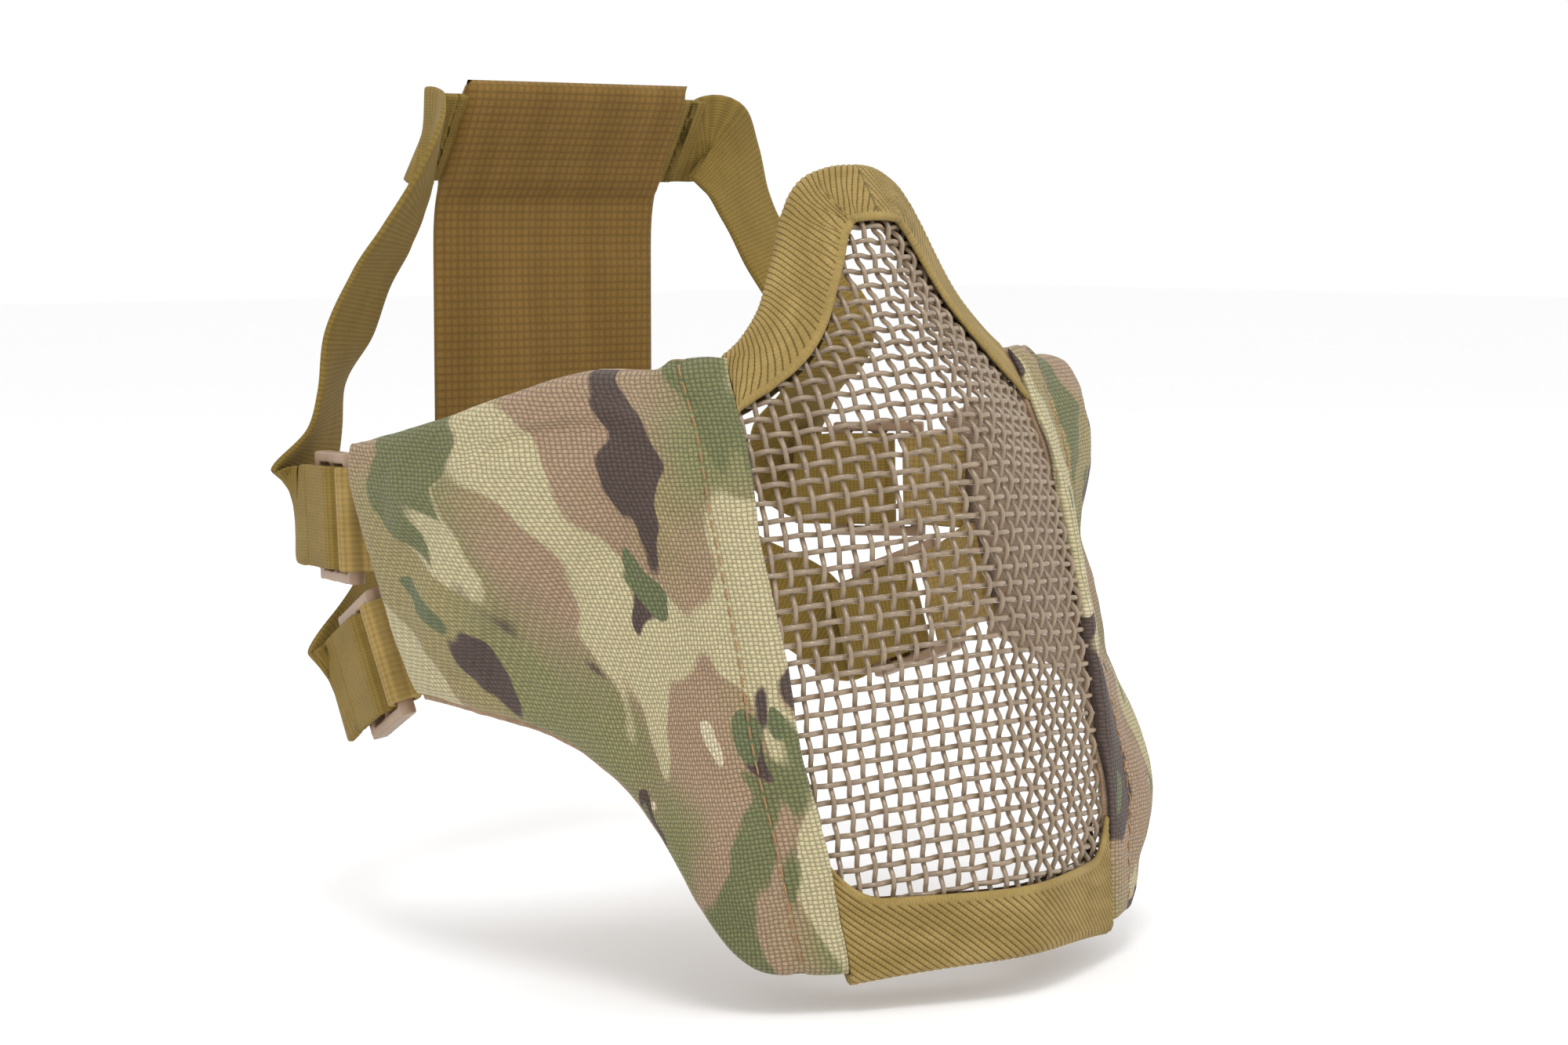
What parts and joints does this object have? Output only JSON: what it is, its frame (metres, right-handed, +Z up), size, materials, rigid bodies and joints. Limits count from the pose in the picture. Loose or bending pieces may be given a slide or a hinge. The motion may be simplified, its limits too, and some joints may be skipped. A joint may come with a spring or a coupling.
{
  "type": "camo face mask",
  "caption": "Half-face mask: a formed wire mesh shield bound in tape, padded camouflage cheek wings and elastic straps on sliders that meet at a head panel.",
  "frame": {"origin": "the middle of the wearer's face opening, level with the mouth, in the plane that the face rests in: 18 mm behind the front of the mesh ridge at that level", "axes": "+Y to the back of the head, +Z up, +X to the wearer's left"},
  "size_m": [0.1532, 0.1442, 0.1571],
  "materials": {
    "mesh_wire": "tan brown semi-gloss enamel on woven steel wire",
    "binding_tape": "khaki corded elastic tape",
    "camo_cloth": "coarse basket-weave nylon in woodland camouflage",
    "foam": "closed-cell foam, dull",
    "lining_cloth": "brown brushed knit",
    "elastic_webbing": "olive ribbed elastic webbing",
    "tab_webbing": "olive woven webbing",
    "panel_cloth": "brown coated woven nylon with a fine grid",
    "buckle_plastic": "tan moulded acetal, semi-matt"
  },
  "bodies": {
    "face_shield": {"mesh_shield": "mesh_wire", "nose_binding": "binding_tape", "chin_binding": "binding_tape", "left_front_hem": "camo_cloth", "right_front_hem": "camo_cloth"},
    "left_wing": {"left_wing_cover": "camo_cloth", "left_wing_foam": "foam", "left_wing_lining": "lining_cloth", "left_upper_tab": "tab_webbing", "left_lower_tab": "tab_webbing"},
    "right_wing": {"right_wing_cover": "camo_cloth", "right_wing_foam": "foam", "right_wing_lining": "lining_cloth", "right_upper_tab": "tab_webbing", "right_lower_tab": "tab_webbing"},
    "left_upper_slider": {"left_upper_buckle": "buckle_plastic", "left_upper_strap_end": "elastic_webbing"},
    "left_lower_slider": {"left_lower_buckle": "buckle_plastic", "left_lower_strap_end": "elastic_webbing"},
    "right_upper_slider": {"right_upper_buckle": "buckle_plastic", "right_upper_strap_end": "elastic_webbing"},
    "right_lower_slider": {"right_lower_buckle": "buckle_plastic", "right_lower_strap_end": "elastic_webbing"},
    "rear_harness": {"back_panel_front": "panel_cloth", "back_panel_rear": "panel_cloth", "upper_strap_core": "elastic_webbing", "lower_strap_core": "elastic_webbing", "left_upper_strap": "elastic_webbing", "left_lower_strap": "elastic_webbing", "right_upper_strap": "elastic_webbing", "right_lower_strap": "elastic_webbing"}
  },
  "joints": [
    {"name": "left_wing_fold", "type": "hinge", "parent": "face_shield", "child": "left_wing", "pos_m": [0.04393, 0.00285, 0], "axis": [0.0192, 0.2713, 0.9623], "range_deg": [-12, 12], "stiffness_Nm_per_rad": 0.06},
    {"name": "right_wing_fold", "type": "hinge", "parent": "face_shield", "child": "right_wing", "pos_m": [-0.04393, 0.00285, 0], "axis": [0.0192, -0.2713, -0.9623], "range_deg": [-12, 12], "stiffness_Nm_per_rad": 0.06},
    {"name": "left_upper_buckle_swing", "type": "hinge", "parent": "left_wing", "child": "left_upper_slider", "pos_m": [0.07039, 0.07564, 0.02021], "axis": [0.0147, 0.0445, 0.9989], "range_deg": [-20, 25]},
    {"name": "left_lower_buckle_swing", "type": "hinge", "parent": "left_wing", "child": "left_lower_slider", "pos_m": [0.06892, 0.0666, -0.00339], "axis": [0.0614, 0.3922, 0.9178], "range_deg": [-20, 25]},
    {"name": "right_upper_buckle_swing", "type": "hinge", "parent": "right_wing", "child": "right_upper_slider", "pos_m": [-0.07039, 0.07564, 0.02021], "axis": [0.0147, -0.0445, -0.9989], "range_deg": [-20, 25]},
    {"name": "right_lower_buckle_swing", "type": "hinge", "parent": "right_wing", "child": "right_lower_slider", "pos_m": [-0.06892, 0.0666, -0.00339], "axis": [0.0614, -0.3922, -0.9178], "range_deg": [-20, 25]},
    {"name": "harness_stretch", "type": "slide", "parent": "face_shield", "child": "rear_harness", "axis": [0, 1, 0], "range_m": [0, 0.05], "stiffness_N_per_m": 120, "deforming": ["left_upper_strap", "left_lower_strap", "right_upper_strap", "right_lower_strap"]}
  ]
}
